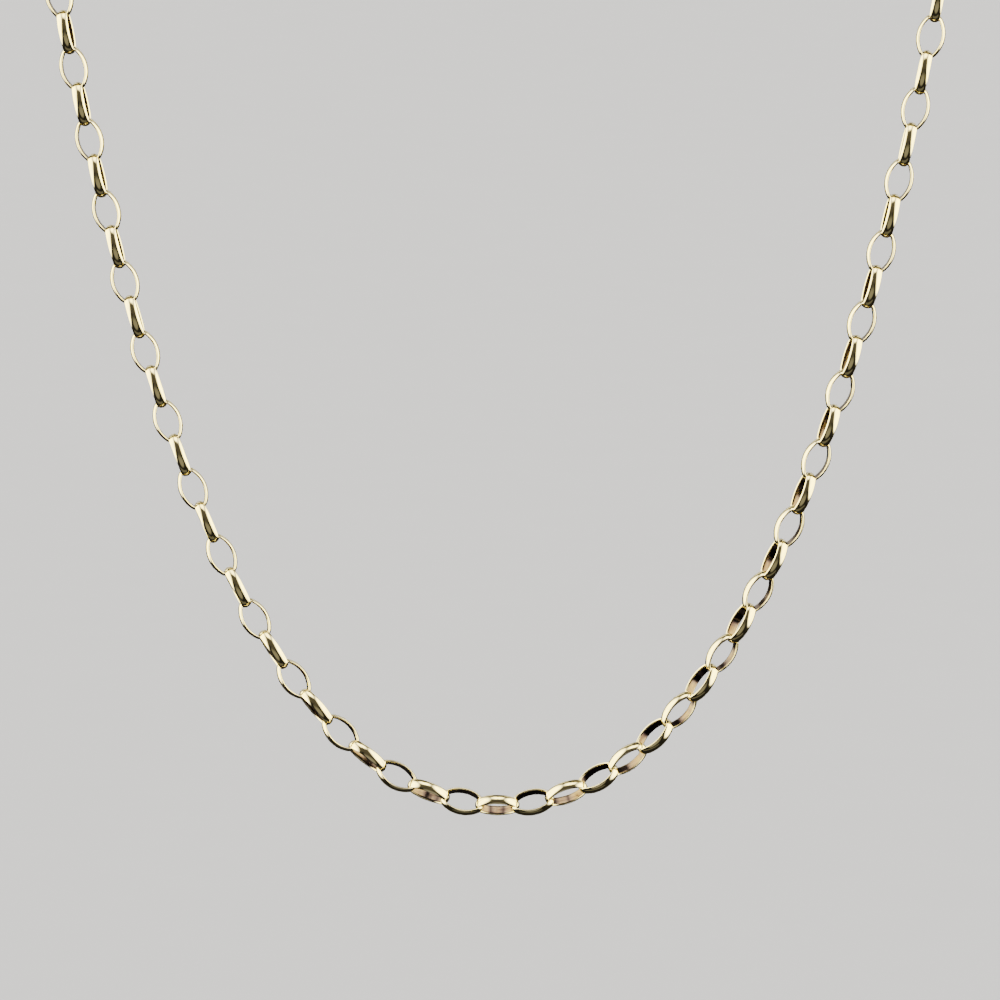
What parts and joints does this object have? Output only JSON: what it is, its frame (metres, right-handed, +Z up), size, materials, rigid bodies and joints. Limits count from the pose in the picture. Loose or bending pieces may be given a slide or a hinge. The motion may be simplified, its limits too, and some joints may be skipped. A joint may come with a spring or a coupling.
{
  "type": "rolo chain necklace",
  "caption": "Closed necklace chain of interlocked oval strip links with a plain ring clasp, hanging in a long curve from the nape.",
  "frame": {"origin": "the nape: the point of the chain's line where it closes at the clasp and hangs on the back of the neck", "axes": "+Z up, -Y towards the viewer and the hanging front, +X to the viewer's right"},
  "size_m": [0.1156, 0.0549, 0.1508],
  "materials": {
    "gold": "polished pale yellow gold with a brushed inner face",
    "clasp_gold": "polished pale yellow gold"
  },
  "bodies": {
    "root": {"chain_left": "gold", "chain_right": "gold", "clasp": "clasp_gold"}
  },
  "joints": []
}
